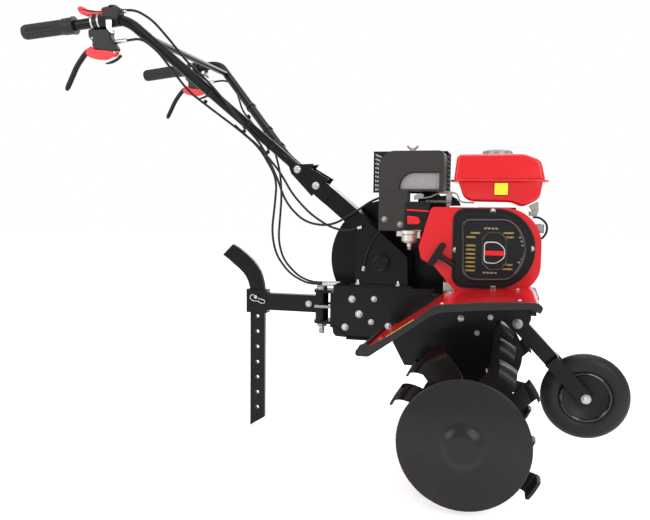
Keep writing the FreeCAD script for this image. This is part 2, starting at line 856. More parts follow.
def side_disc(side_name, side, inner_end):
    """Dished guard disc that closes the end of the reel, with a raised middle and a stub hub."""
    body = new_body("SideDisc" + side_name)
    crown = s.disc_plane + s.disc_dish
    thick, hub, ring = s.disc_thick, s.disc_hub_radius, s.disc_ring_radius
    corners = [
        (inner_end, 0), (inner_end, s.hub_radius), (crown, s.hub_radius), (crown, ring),
        (s.disc_plane, s.disc_radius), (s.disc_plane + thick, s.disc_radius), (crown + thick, ring),
        (crown + thick, hub), (crown + thick + s.disc_cap, hub - s.disc_cap), (crown + thick + s.disc_cap, 0),
    ]
    revolve(body, [(side * corner[0], corner[1]) for corner in corners])
    finish(body, "side_disc_" + side_name)


# ---------------------------------------------------------------- gear case and frame
def gear_case():
    """Cast case: a wide upper box between the side plates and a lower case round the tine shaft."""
    body = new_body("GearCase")
    pad(body, "XZ_Plane", -s.frame_inner, s.frame_inner, [
        (s.case_rear_x, s.bed_z), (s.case_rear_x, s.case_knee_z), (s.case_toe_x, s.case_toe_z),
        (s.case_nose_x, s.case_toe_z, s.case_gusset), (s.case_front_x, s.bed_z),
    ])
    foot = s.case_foot_radius
    pad(body, "XZ_Plane", -s.case_half, s.case_half, [
        (s.case_toe_x + s.case_gusset, s.case_toe_z), (-foot, -foot, foot * 0.9), (foot, -foot, foot * 0.9),
        (s.case_nose_x - s.case_gusset / 2, s.case_toe_z + s.case_gusset / 2),
        (0, s.case_knee_z),
    ])
    bore = s.shaft_radius + s.run_gap
    pocket(body, "XZ_Plane", -s.frame_inner, s.frame_inner, circles=[(0, 0, bore)])
    finish(body, "gear_case")


def frame():
    outer = s.frame_inner + s.frame_thick
    for side_name, side in SIDES:
        low, high = span(side, s.frame_inner, outer)
        plate("frame_plate_" + side_name, "XZ_Plane", low, high, [
            (s.frame_rear_x, s.bed_z), (s.frame_rear_x, s.frame_low_z + s.frame_corner * 2),
            (s.frame_low_x, s.frame_low_z, s.frame_corner), (s.frame_step_x, s.frame_low_z, s.frame_corner),
            (s.frame_front_x, s.frame_front_low_z), (s.frame_front_x, s.bed_z),
        ])
    corner = s.bed_corner
    plate("engine_bed", "XY_Plane", s.bed_z, s.bed_z + s.bed_thick, [
        (s.frame_rear_x, -outer), (s.bed_rear_x, -outer), (s.bed_rear_x, s.bed_right_y, corner),
        (s.bed_front_x, s.bed_right_y, corner), (s.bed_front_x, outer, corner), (s.frame_rear_x, outer),
    ])


# ---------------------------------------------------------------- steering column
def on_column(ahead, y, above):
    """Point given along and across the column, in the tine axle's frame."""
    slope = s.column_slope
    x = s.joint_x + ahead * cosine(slope) + above * sine(slope)
    z = s.joint_z - ahead * sine(slope) + above * cosine(slope)
    return x, y, z


def column():
    end, half_high = s.column_length, s.column_height / 2
    body = new_body("ColumnTube")
    half_deep, wall = s.column_depth / 2, s.column_wall
    outer = [(-half_deep, -half_high), (half_deep, -half_high), (half_deep, half_high), (-half_deep, half_high)]
    in_deep, in_high = half_deep - wall, half_high - wall
    inner = [(-in_deep, -in_high), (in_deep, -in_high), (in_deep, in_high), (-in_deep, in_high)]
    pad(body, "YZ_Plane", s.column_start, end, outer)
    pocket(body, "YZ_Plane", s.column_start, end, inner)
    finish(body, "column_tube", x=s.joint_x, z=s.joint_z, angle=s.column_slope)
    low = on_column(end, 0, -half_high)
    high = on_column(end, 0, half_high)
    body = new_body("ColumnBase")
    bottom = s.bed_z + s.bed_thick
    top = bottom + s.base_flange_thick
    over = s.base_flange_over
    pad(body, "XY_Plane", bottom, top, [
        (s.base_rear_x - over, -s.base_half - over), (s.base_front_x + over, -s.base_half - over),
        (s.base_front_x + over, s.base_half + over), (s.base_rear_x - over, s.base_half + over),
    ])
    pad(body, "XZ_Plane", -s.base_half, s.base_half, [
        (s.base_rear_x, bottom), (low[0], low[2]), (high[0], high[2]),
        (s.base_shoulder_x, s.base_shoulder_z, s.base_round), (s.base_front_x, bottom),
    ])
    pad(body, "XZ_Plane", -s.base_half - s.boss_depth, -s.base_half,
        circles=[(s.input_x, s.input_z, s.boss_radius)])
    pad(body, "XZ_Plane", s.base_half, s.cover_near_y, circles=[(s.input_x, s.input_z, s.boss_radius)])
    finish(body, "column_base")


def handle_bracket():
    """Two stepped plates on the column's sides that hold the handlebar tubes between them."""
    body = new_body("HandleBracket")
    inner = s.column_depth / 2
    half = s.column_height / 2
    corners = [
        (s.bracket_rear_s, s.bracket_rear_n), (s.bracket_peak_s, s.bracket_peak_n),
        (s.bracket_peak_s, s.bracket_step_n), (s.bracket_brow_s, s.bracket_brow_n), (s.bracket_brow_s, half),
        (s.bracket_front_s, half), (s.bracket_front_s, -half), (s.bracket_toe_s, -half),
        (s.bracket_toe_s, s.bracket_toe_n), (s.bracket_heel_s, s.bracket_heel_n),
    ]
    for side in (-1, 1):
        low, high = span(side, inner, inner + s.bracket_thick)
        pad(body, "XZ_Plane", low, high, corners)
    for along in (s.bolt_low_s, s.bolt_high_s):
        pocket(body, "XZ_Plane", -inner - s.bracket_thick, inner + s.bracket_thick,
               circles=[(-along, s.bolt_n, s.bolt_radius + s.bolt_play)])
    finish(body, "handle_bracket", x=s.joint_x, z=s.joint_z, angle=s.column_slope)
    bolts = new_body("HandleBolts")
    face = inner + s.bracket_thick
    for along in (s.bolt_low_s, s.bolt_high_s):
        pad(bolts, "XZ_Plane", -face, face, circles=[(-along, s.bolt_n, s.bolt_radius)])
        for side in (-1, 1):
            low, high = span(side, face, face + s.bolt_head_depth)
            pad(bolts, "XZ_Plane", low, high, circles=[(-along, s.bolt_n, s.bolt_head_radius)])
    finish(bolts, "handle_bolts", x=s.joint_x, z=s.joint_z, angle=s.column_slope)


# ---------------------------------------------------------------- handlebars
def bar_points(side):
    """Corners of one handlebar tube from the grip end to its foot in the bracket."""
    half = s.bar_pitch / 2
    return [
        vec(s.bar_tip_x, side * s.bar_tip_y, s.bar_tip_z),
        vec(s.crook_x, side * s.crook_y, s.crook_z),
        vec(*on_column(-s.bar_knee_s, side * half, s.bolt_n)),
        vec(*on_column(-s.bar_end_s, side * half, s.bolt_n)),
    ]


def along_bar(side):
    """Placement with its X axis along the grip end of a handlebar, Z up and its origin at the tip."""
    tip, bend = bar_points(side)[:2]
    forward = (bend - tip).normalize()
    across = FreeCAD.Vector(0, 0, 1).cross(forward).normalize()
    turn = FreeCAD.Rotation(forward, across, forward.cross(across), "XYZ")
    return FreeCAD.Placement(tip, turn)


def finish_on_bar(body, label, side):
    """Name a sub-part drawn in a handlebar's own frame and carry it to the machine's frame."""
    body.Label = label
    parts.append(body)
    body.Placement = FreeCAD.Placement(vec(axle_x, 0, axle_z), FreeCAD.Rotation()) * along_bar(side)


def handlebars():
    bars = {}
    for side_name, side in SIDES:
        rod = swept_rod(bar_points(side), [s.crook_radius, s.knee_radius], s.bar_radius)
        for along in (s.bolt_low_s, s.bolt_high_s):
            x, y, z = on_column(-along, -s.column_depth, s.bolt_n)
            drill = Part.makeCylinder(float(s.bolt_radius + s.bolt_play), float(s.column_depth * 2), vec(x, y, z),
                                      FreeCAD.Vector(0, 1, 0))
            rod = rod.cut(drill)
        bars[side] = rod
        hollow = swept_rod(bar_points(side), [s.crook_radius, s.knee_radius], s.bar_radius - s.bar_wall)
        rod = rod.cut(hollow)
        shape_part("handlebar_" + side_name, rod)
        grip(side_name, side)
    ends = []
    for side in (-1, 1):
        bend, knee = bar_points(side)[1:3]
        ends.append(bend + (knee - bend) * float(s.cross_share))
    bar = Part.makeCylinder(float(s.cross_radius), (ends[1] - ends[0]).Length, ends[0], ends[1] - ends[0])
    shape_part("handle_crossbar", bar.cut(bars[-1]).cut(bars[1]))


def grip(side_name, side):
    body = new_body("Grip" + side_name)
    bore = s.bar_radius + s.grip_play
    length = s.grip_length
    sketch = new_sketch(body, "Profile", "XZ_Plane")
    outline(sketch, [
        (-s.grip_cap, 0), (-s.grip_cap, s.grip_radius, s.grip_cap), (length - s.grip_flange_thick, s.grip_radius),
        (length - s.grip_flange_thick, s.grip_flange_radius), (length, s.grip_flange_radius), (length, bore),
        (-s.grip_play, bore), (-s.grip_play, 0),
    ])
    feature = body.newObject("PartDesign::Revolution", "Revolution")
    feature.Profile = sketch
    feature.ReferenceAxis = (sketch, ["H_Axis"])
    feature.Angle = 360
    finish_on_bar(body, "grip_" + side_name, side)


def lever_shift(side):
    """How much nearer the grip's end the clutch lever on one side sits."""
    return s.left_shift if side > 0 else 0


def controls():
    """Clutch levers under both tubes and the throttle on top of the right one."""
    for side_name, side in SIDES:
        body = new_body("LeverMount" + side_name)
        start = s.mount_start - lever_shift(side)
        end = start + s.mount_length
        half = s.mount_thick / 2
        chin = -s.lever_pivot_drop - s.mount_chin
        pad(body, "XZ_Plane", -half, half, [
            (start, 0), (start, chin, 6), (end, chin, 6), (end, 0),
        ])
        pad(body, "YZ_Plane", end - s.clamp_length, end, circles=[(0, 0, s.clamp_radius)])
        pocket(body, "YZ_Plane", start - 1, end + 1, circles=[(0, 0, s.bar_radius + s.grip_play)])
        slot = s.lever_thick / 2 + s.part_gap
        roof = -s.lever_elbow_drop + s.lever_width / 2 + s.part_gap
        pocket(body, "XZ_Plane", -slot, slot, [
            (start - 1, chin - 1), (end + 1, chin - 1), (end + 1, roof), (start - 1, roof),
        ])
        finish_on_bar(body, "lever_mount_" + side_name, side)
        lever(side_name, side)
    throttle()


def lever(side_name, side):
    """Cranked clutch lever hung from its mount, with a black sleeve on the long arm."""
    half = s.lever_thick / 2
    width = s.lever_width / 2
    shift = lever_shift(side)
    pivot_x, elbow_x, tip_x = s.lever_pivot_s - shift, s.lever_elbow_s - shift, s.lever_tip_s - shift
    top, elbow_z, tip_z = -s.lever_pivot_drop, -s.lever_elbow_drop, -s.lever_tip_drop
    body = new_body("ClutchLever" + side_name)
    pad(body, "XZ_Plane", -half, half, [
        (pivot_x + width, top + width, 4), (elbow_x, elbow_z + width, 16), (elbow_x - 2 * width, elbow_z - 2 * width),
        (elbow_x, elbow_z - 3 * width), (elbow_x + width, elbow_z - width, 10), (pivot_x + width, top - width, 4),
    ])
    finish_on_bar(body, "clutch_lever_" + side_name, side)
    sleeve = new_body("LeverSleeve" + side_name)
    pad(sleeve, "XZ_Plane", -s.sleeve_thick / 2, s.sleeve_thick / 2, [
        (elbow_x - 2 * width, elbow_z - 2 * width), (tip_x - width, tip_z, 5), (tip_x + width, tip_z - width, 5),
        (elbow_x, elbow_z - 3 * width),
    ])
    finish_on_bar(sleeve, "lever_sleeve_" + side_name, side)


def throttle():
    body = new_body("ThrottleHousing")
    start = s.throttle_start
    high = s.bar_radius + s.throttle_height
    half = s.throttle_half
    pad(body, "XZ_Plane", -half, half, [
        (start, s.bar_radius - 3), (start, high, 6), (start + s.throttle_length, high, 9),
        (start + s.throttle_length, s.bar_radius - 3),
    ])
    pocket(body, "YZ_Plane", start - 1, start + s.throttle_length + 1,
           circles=[(0, 0, s.bar_radius + s.grip_play)])
    clamp_end = s.mount_start + s.mount_length + s.part_gap
    pocket(body, "YZ_Plane", clamp_end - s.clamp_length - s.part_gap * 2, clamp_end,
           circles=[(0, 0, s.clamp_radius + s.part_gap)])
    finish_on_bar(body, "throttle_housing", -1)
    thumb = new_body("ThrottleLever")
    pad(thumb, "XZ_Plane", -s.thumb_thick / 2, s.thumb_thick / 2, [
        (start, high - s.thumb_width, 3), (start, high - 2, 3), (start - s.thumb_length, high + 6, 5),
        (start - s.thumb_length, high - 8, 5),
    ])
    finish_on_bar(thumb, "throttle_lever", -1)


# ---------------------------------------------------------------- control cables
# Stations beside a handlebar tube's slope: share of its length, distance off its axis and angle round it.
BESIDE_BAR = {
    "right_clutch": (-1, [(0.42, 36, 180), (0.57, 31, 183), (0.72, 26, 180),
                          (0.86, 25, 188)]),
    "left_clutch": (1, [(0.42, 36, 180), (0.57, 31, 183), (0.72, 26, 180),
                        (0.86, 25, 176)]),
    "throttle": (-1, [(0.34, 18.5, 4), (0.46, 19, 44), (0.59, 20, 90),
                      (0.72, 20, 128), (0.85, 22, 150)]),
    "brake": (-1, [(0.7, 27, 228), (0.78, 27, 224), (0.87, 28, 228)]),
}
# Points from the tine axle between a control and the tube's slope, and after the cables leave the tubes.
LEADING = {
    "right_clutch": [(-756, -262, 838), (-732, -222, 792)],
    "left_clutch": [(-775, 264, 846), (-740, 226, 797)],
    "throttle": [(-800, -281, 930), (-768, -262, 910), (-742, -228, 872)],
}
HANGING = {
    "right_clutch": [(-526, -38, 540), (-533, -34, 470), (-543, -30, 398), (-532, -27, 335), (-492, -25, 284),
                     (-443, -25, 260), (-400, -25, 260)],
    "left_clutch": [(-540, 34, 556), (-533, 24, 490), (-535, 16, 430), (-538, 12, 372), (-522, 10, 318),
                    (-480, 10, 276), (-441, 10, 260), (-400, 10, 260)],
    "throttle": [(-520, -58, 545), (-493, -62, 475), (-440, -64, 425), (-372, -60, 416), (-312, -52, 451),
                 (-262, -42, 487), (-215, -36, 500)],
    "brake": [(-512, -52, 556), (-480, -46, 498), (-430, -44, 446), (-378, -42, 414), (-338, -42, 404),
              (-302.4, -44, 412)],
    "stop": [(-240, -60, 407), (-259, -60, 384), (-275, -60, 349), (-281, -60, 315)],
}


def beside_bar(side, share, off, round_angle):
    """Point beside the sloping part of a handlebar tube, at an angle round it from its upper side."""
    crook, knee = bar_points(side)[1:3]
    along = (knee - crook).normalize()
    across = along.cross(FreeCAD.Vector(0, 0, 1)).normalize() * side * -1
    above = across.cross(along).normalize()
    if above.z < 0:
        above = above * -1
    turn = math.radians(round_angle)
    swing = (above * math.cos(turn) + across * math.sin(turn)) * float(off * s.route_unit)
    return crook + (knee - crook) * share + swing


def in_route_units(point):
    return vec(*[value * s.route_unit for value in point])


def adjuster(start, ahead, length):
    """Threaded end of a cable: a short bright cylinder that begins at a point."""
    return Part.makeCylinder(float(s.adjuster_radius), float(length), start, ahead)


def control_cables():
    """Five cables held in clips along the tubes, with their bright ends; drawn along their real route."""
    cables, fittings = [], []
    for name, points in HANGING.items():
        route = []
        if name in BESIDE_BAR:
            side, stations = BESIDE_BAR[name]
            if "clutch" in name:
                front = s.mount_start + s.mount_length - lever_shift(side)
                frame_here = along_bar(side)
                level = -s.adjuster_drop
                begin = frame_here.multVec(vec(front, 0, level))
                leave = frame_here.multVec(vec(front + s.adjuster_length, 0, level))
                fittings.append(adjuster(begin, leave - begin, s.adjuster_length))
                route += [leave, frame_here.multVec(vec(front + s.adjuster_length + s.lead_length, 0, level))]
            if name == "throttle":
                end = s.throttle_start + s.throttle_length
                route.append(along_bar(side).multVec(vec(end + s.part_gap * 3, 0, s.bar_radius + s.throttle_drop)))
            route += [in_route_units(point) for point in LEADING.get(name, ())]
            route += [beside_bar(side, *station) for station in stations]
        route += [in_route_units(point) for point in points]
        radius = s.stop_cable_radius if name == "stop" else s.cable_radius
        radii, runs = [], []
        for i in range(1, len(route)):
            runs.append((route[i] - route[i - 1]).Length)
        for i in range(1, len(route) - 1):
            half = (route[i - 1] - route[i]).getAngle(route[i + 1] - route[i]) / 2
            radii.append(0.45 * min(runs[i - 1], runs[i]) * math.tan(half))
        print("%s runs %s radii %s" % (name, [round(r) for r in runs], [round(r) for r in radii]))
        cables.append(swept_rod(route, radii, radius))
        last = route[-1] - route[-2]
        if name != "throttle":
            length = s.adjuster_length if "clutch" in name else s.ferrule_length
            fittings.append(adjuster(route[-1], last, length))
    shape_part("control_cables", Part.makeCompound(cables))
    shape_part("cable_fittings", Part.makeCompound(fittings))


# ---------------------------------------------------------------- fenders
def fender_line(above):
    """Side view of the fender at a height above its underside, from nose to low rear corner."""
    slope = (s.fender_z - s.fender_low_z) / (s.fender_knee_x - s.fender_low_x)
    return [
        (s.fender_nose_x, s.fender_nose_z + above), (s.fender_front_x, s.fender_front_z + above),
        (s.fender_knee_x - above * slope / 2, s.fender_z + above), (s.fender_low_x, s.fender_low_z + above),
    ]


def fender_inner(side):
    return s.fender_inner_left if side > 0 else s.fender_inner_right


def fenders():
    for side_name, side in SIDES:
        low, high = span(side, fender_inner(side), s.fender_outer)
        under = fender_line(0)
        over = fender_line(s.fender_thick)
        plate("fender_" + side_name, "XZ_Plane", low, high, under + over[::-1])
        lip(side_name, side)
        rear_stay(side_name, side)
    low = s.bed_z + s.bed_thick
    body = new_body("FrontStay")
    width = s.fender_outer - s.stay_short
    pad(body, "XY_Plane", low, low + s.stay_thick, [
        (s.stay_x, -width), (s.stay_x + s.stay_width, -width), (s.stay_x + s.stay_width, width), (s.stay_x, width),
    ])
    finish(body, "front_stay")


def lip(side_name, side):
    """Rubber edge along the fender's outer side and across its low rear end."""
    below = fender_line(-s.lip_below)
    above = fender_line(s.fender_thick + s.lip_above)
    body = new_body("FenderLip" + side_name)
    low, high = span(side, s.fender_outer, s.fender_outer + s.lip_width)
    pad(body, "XZ_Plane", low, high, below + above[::-1])
    low, high = span(side, fender_inner(side), s.fender_outer + s.lip_width)
    rear = s.fender_low_x
    pad(body, "XZ_Plane", low, high, [
        (rear, s.fender_low_z - s.lip_below), (rear, s.fender_low_z + s.fender_thick + s.lip_above),
        (rear - s.lip_width, s.fender_low_z + s.fender_thick),
        (rear - s.lip_width, s.fender_low_z - s.lip_below),
    ])
    finish(body, "fender_lip_" + side_name)


def rear_stay(side_name, side):
    outer = s.frame_inner + s.frame_thick
    slope = (s.fender_z - s.fender_low_z) / (s.fender_knee_x - s.fender_low_x)
    top = s.fender_low_z + (s.rear_stay_x - s.fender_low_x) * slope - s.part_gap
    end = s.fender_outer - s.stay_short
    plate("rear_stay_" + side_name, "YZ_Plane", s.rear_stay_x, s.rear_stay_x + s.stay_thick, [
        (side * outer, s.rear_stay_low_z), (side * end, s.rear_stay_low_z), (side * end, top),
        (side * fender_inner(side), top), (side * fender_inner(side), s.rear_stay_mid_z), (side * outer, s.rear_stay_mid_z),
    ])


# ---------------------------------------------------------------- engine
def engine_block():
    """Crankcase with mounting feet and the inclined cylinder that points to the rear."""
    body = new_body("EngineBlock")
    bottom = s.bed_z + s.bed_thick
    right, left = s.block_right_y, s.block_left_y
    rear, front = s.block_rear_x, s.block_front_x
    pad(body, "XZ_Plane", right, left, [
        (rear, bottom), (front, bottom), (front, s.block_shoulder_z), (front - s.block_cut, s.block_top_z),
        (rear, s.block_top_z), (rear, bottom + s.foot_thick),
    ])
    pad(body, "XZ_Plane", -s.head_half, s.head_half, [
        (rear, s.head_low_z), (s.head_rear_x + s.head_lean, s.head_low_z), (s.head_rear_x, s.head_high_z),
        (rear, s.head_high_z),
    ])
    pad(body, "XZ_Plane", right + s.head_lean, left - s.head_lean, [
        (s.saddle_rear_x, s.block_top_z), (s.saddle_front_x, s.block_top_z),
        (s.saddle_front_x, s.tank_low_z), (s.saddle_rear_x, s.tank_low_z),
    ])
    pad(body, "XZ_Plane", left, s.cover_near_y, circles=[(s.crank_x, s.crank_z, s.crank_boss_radius)])
    finish(body, "engine_block")


def fan_shroud():
    bottom, top = s.shroud_low_z, s.shroud_top_z
    corner = s.bed_corner
    plate("fan_shroud", "XZ_Plane", s.shroud_face_y, s.block_right_y, [
        (s.shroud_foot_x, bottom, corner), (s.shroud_right_x, bottom, s.shroud_low_round),
        (s.shroud_right_x, top, s.shroud_big_round), (s.shroud_left_x, top, corner),
        (s.shroud_waist_x, s.shroud_waist_z, corner), (s.shroud_chin_x, s.shroud_chin_z, corner),
        (s.shroud_neck_x, s.shroud_neck_z, corner),
    ])


def dee(inset):
    """Corners of the recoil cover's D outline, drawn in from its edge by an inset."""
    left, right = s.recoil_left_x + inset, s.recoil_right_x - inset
    low, high = s.recoil_low_z + inset, s.recoil_high_z - inset
    small, big = s.dee_corner - inset / 2, s.dee_round - inset
    return [(left, low, small), (right, low, big), (right, high, big), (left, high, small)]


def recoil_cover():
    """Flanged D-shaped cover with a raised rim and dome, and a grille of slots cut into its face."""
    body = new_body("RecoilCover")
    base, face = s.shroud_face_y, s.recoil_face_y
    pad(body, "XZ_Plane", base - s.dee_flange, base, dee(0))
    pad(body, "XZ_Plane", base - s.dee_rim_high, base - s.dee_flange, dee(s.dee_rim_inset))
    pad(body, "XZ_Plane", face, base - s.dee_rim_high, dee(s.dee_dome_inset))
    slots = []
    for row in range(int(s.slot_rows)):
        slots.append((s.slot_left_x, s.slot_row_z - s.slot_pitch * row, s.slot_width))
    slots.append((s.slot_left_x, s.slot_row_z + s.slot_pitch * 2, s.slot_width))
    slots.append((s.slot_left_x + s.slot_pitch, s.slot_row_z + s.slot_pitch * 3, s.slot_width))
    for z, inward in ((s.slot_top_z, -1), (s.slot_low_z, 1)):
        slots.append((s.slot_mid_x, z, s.slot_long))
        slots.append((s.slot_right_x, z + s.slot_pitch * inward, s.slot_width))
        slots.append((s.slot_right_x, z + s.slot_pitch * inward * 2, s.slot_width))
    for x, z, width in slots:
        pocket(body, "XZ_Plane", face, face + s.slot_deep, [
            (x, z), (x + width, z), (x + width, z + s.slot_high), (x, z + s.slot_high),
        ])
    finish(body, "recoil_cover")
    starter_handle()


def starter_handle():
    """Leaning T-handle of the recoil starter, drawn about the middle of its crossbar."""
    body = new_body("StarterHandle")
    half, thick = s.pull_length / 2, s.pull_radius
    middle = (s.recoil_face_y + s.shroud_face_y) / 2
    round_off = thick * 0.8
    pad(body, "XZ_Plane", middle - thick, middle + thick, [
        (-thick, -half, round_off), (thick, -half, round_off), (thick, half, round_off), (-thick, half, round_off),
    ])
    pad(body, "YZ_Plane", 0, s.pull_stem, circles=[(middle, 0, s.pull_stem_radius)])
    finish(body, "starter_handle", x=s.pull_x, z=s.pull_z, angle=s.pull_lean_angle)


def fuel_tank():
    """Pressed tank: a tapered upper shell with a sloped brow, the seam flange and a tapered lower shell."""
    body = new_body("FuelTank")
    low = s.tank_flange_z
    high = low + s.tank_flange_thick
    right, left, inset, corner = s.tank_right_y, s.tank_left_y, s.tank_inset, s.tank_round
    pad(body, "XY_Plane", low, high, [
        (s.tank_flange_left_x, right, corner), (s.tank_flange_right_x, right, corner),
        (s.tank_flange_right_x, left, corner), (s.tank_flange_left_x, left, corner),
    ])
    pad(body, "XY_Plane", high, s.tank_top_z, [
        (s.tank_left_x, right + inset, corner), (s.tank_right_x, right + inset, corner),
        (s.tank_right_x, left - inset, corner), (s.tank_left_x, left - inset, corner),
    ], taper=s.tank_taper_angle)
    pad(body, "XY_Plane", s.tank_low_z, low, [
        (s.tank_low_left_x, right + inset * 2, corner), (s.tank_low_right_x, right + inset * 2, corner),
        (s.tank_low_right_x, left - inset * 2, corner), (s.tank_low_left_x, left - inset * 2, corner),
    ], taper=s.tank_under_angle)
    pocket(body, "XZ_Plane", right, left, [
        (s.tank_brow_x, s.tank_top_z), (s.tank_slope_x, s.tank_slope_z), (s.tank_flange_right_x, s.tank_slope_z),
        (s.tank_flange_right_x, s.tank_top_z + inset), (s.tank_brow_x, s.tank_top_z + inset),
    ])
    finish(body, "fuel_tank")
    cap = new_body("TankCap")
    pad(cap, "XY_Plane", s.tank_top_z, s.tank_top_z + s.cap_height, circles=[(s.cap_x, s.cap_y, s.cap_radius)])
    finish(cap, "tank_cap")


def muffler_guard():
    """Sheet cage over the muffler, open below, with a grille of slots through its two long sides."""
    body = new_body("MufflerGuard")
    wall = s.guard_wall
    left, right = s.guard_left_x, s.guard_right_x
    pad(body, "XZ_Plane", s.guard_right_y, s.guard_left_y, [
        (left, s.guard_low_z), (right, s.guard_low_z), (right, s.guard_top_z), (left, s.guard_top_z),
    ])
    pocket(body, "XZ_Plane", s.guard_right_y + wall, s.guard_left_y - wall, [
        (left + wall, s.guard_low_z), (right - wall, s.guard_low_z), (right - wall, s.guard_top_z - wall),
        (left + wall, s.guard_top_z - wall),
    ])
    rib = s.guard_rib
    columns = []
    x = left + rib
    for width in (s.guard_end_slot, s.guard_end_slot) + (s.guard_mid_slot,) * 6:
        columns.append((x, width))
        x = x + width + rib
    sketch = new_sketch(body, "Grille", "XZ_Plane", s.guard_left_y)
    z = s.guard_low_z + rib * 2
    for x, width in columns:
        outline(sketch, [(x, z), (x + width, z), (x + width, z + s.guard_slot_high), (x, z + s.guard_slot_high)])
    cut = body.newObject("PartDesign::Pocket", "GrilleRow")
    cut.Profile = sketch
    bind(cut, Length=s.guard_left_y - s.guard_right_y)
    rows = body.newObject("PartDesign::LinearPattern", "GrilleRows")
    rows.Originals = [cut]
    rows.Direction = (sketch, ["V_Axis"])
    bind(rows, Length=s.guard_pitch * (s.guard_rows - 1))
    rows.Occurrences = int(s.guard_rows)
    body.Tip = rows
    finish(body, "muffler_guard")


def intake_and_exhaust():
    right, left = s.cleaner_right_y, s.cleaner_left_y
    body = new_body("AirCleaner")
    pad(body, "XZ_Plane", right, left, [
        (s.cleaner_left_x, s.cleaner_low_z), (s.cleaner_right_x, s.cleaner_low_z),
        (s.cleaner_right_x, s.cleaner_top_z, s.notch_deep), (s.cleaner_left_x, s.cleaner_top_z, s.cleaner_round),
    ])
    sill = s.cleaner_low_z + s.notch_sill
    pocket(body, "XZ_Plane", right, right + s.notch_deep, [
        (s.notch_left_x, sill), (s.notch_right_x, sill), (s.notch_right_x, s.notch_top_z),
        (s.notch_left_x, s.notch_top_z, s.notch_round),
    ])
    pad(body, "XZ_Plane", right, s.duct_left_y, [
        (s.cleaner_left_x, s.duct_low_z), (s.duct_right_x, s.duct_low_z), (s.duct_right_x, s.cleaner_low_z),
        (s.cleaner_left_x, s.cleaner_low_z),
    ])
    finish(body, "air_cleaner")
    body = new_body("Carburettor")
    half = s.carb_half
    pad(body, "XZ_Plane", s.carb_y - half, -s.head_half, [
        (s.duct_right_x, s.duct_low_z), (s.carb_right_x, s.duct_low_z), (s.carb_right_x, s.carb_top_z),
        (s.duct_right_x, s.carb_top_z),
    ])
    pad(body, "XY_Plane", s.bowl_low_z, s.duct_low_z, circles=[(s.carb_x, s.carb_y, s.bowl_radius)])
    finish(body, "carburettor")
    body = new_body("Muffler")
    pad(body, "XZ_Plane", s.muffler_right_y, s.muffler_left_y, [
        (s.muffler_left_x, s.muffler_low_z, 16), (s.muffler_right_x, s.muffler_low_z, 16),
        (s.muffler_right_x, s.muffler_top_z, 16), (s.muffler_left_x, s.muffler_top_z, 16),
    ])
    pad(body, "XY_Plane", s.head_high_z, s.muffler_low_z,
        circles=[(s.head_rear_x + s.stub_set_in, s.muffler_right_y + s.stub_radius, s.stub_radius)])
    finish(body, "muffler")


def belt_cover():
    """Long guard over the drive belt, rounded about the crankshaft and the gearbox input."""
    big, small = s.cover_big_radius, s.cover_small_radius
    centres = vec(s.input_x, s.input_z), vec(s.crank_x, s.crank_z)
    solids = []
    depth = float(s.cover_far_y - s.cover_near_y)
    for centre, radius in zip(centres, (big, small)):
        base = FreeCAD.Vector(centre.x, float(s.cover_near_y), centre.y)
        solids.append(Part.makeCylinder(float(radius), depth, base, FreeCAD.Vector(0, 1, 0)))
    run = centres[1] - centres[0]
    tilt = math.atan2(run.y, run.x)
    spread = math.acos(float(big - small) / run.Length)
    corners = []
    for sign in (1, -1):
        for centre, radius in zip(centres, (big, small)):
            angle = tilt + sign * spread
            x = centre.x + float(radius) * math.cos(angle)
            z = centre.y + float(radius) * math.sin(angle)
            corners.append(FreeCAD.Vector(x, float(s.cover_near_y), z))
    order = [corners[0], corners[1], corners[3], corners[2], corners[0]]
    web = Part.Face(Part.makePolygon(order)).extrude(FreeCAD.Vector(0, depth, 0))
    shape_part("belt_cover", solids[0].fuse(solids[1]).fuse(web).removeSplitter())


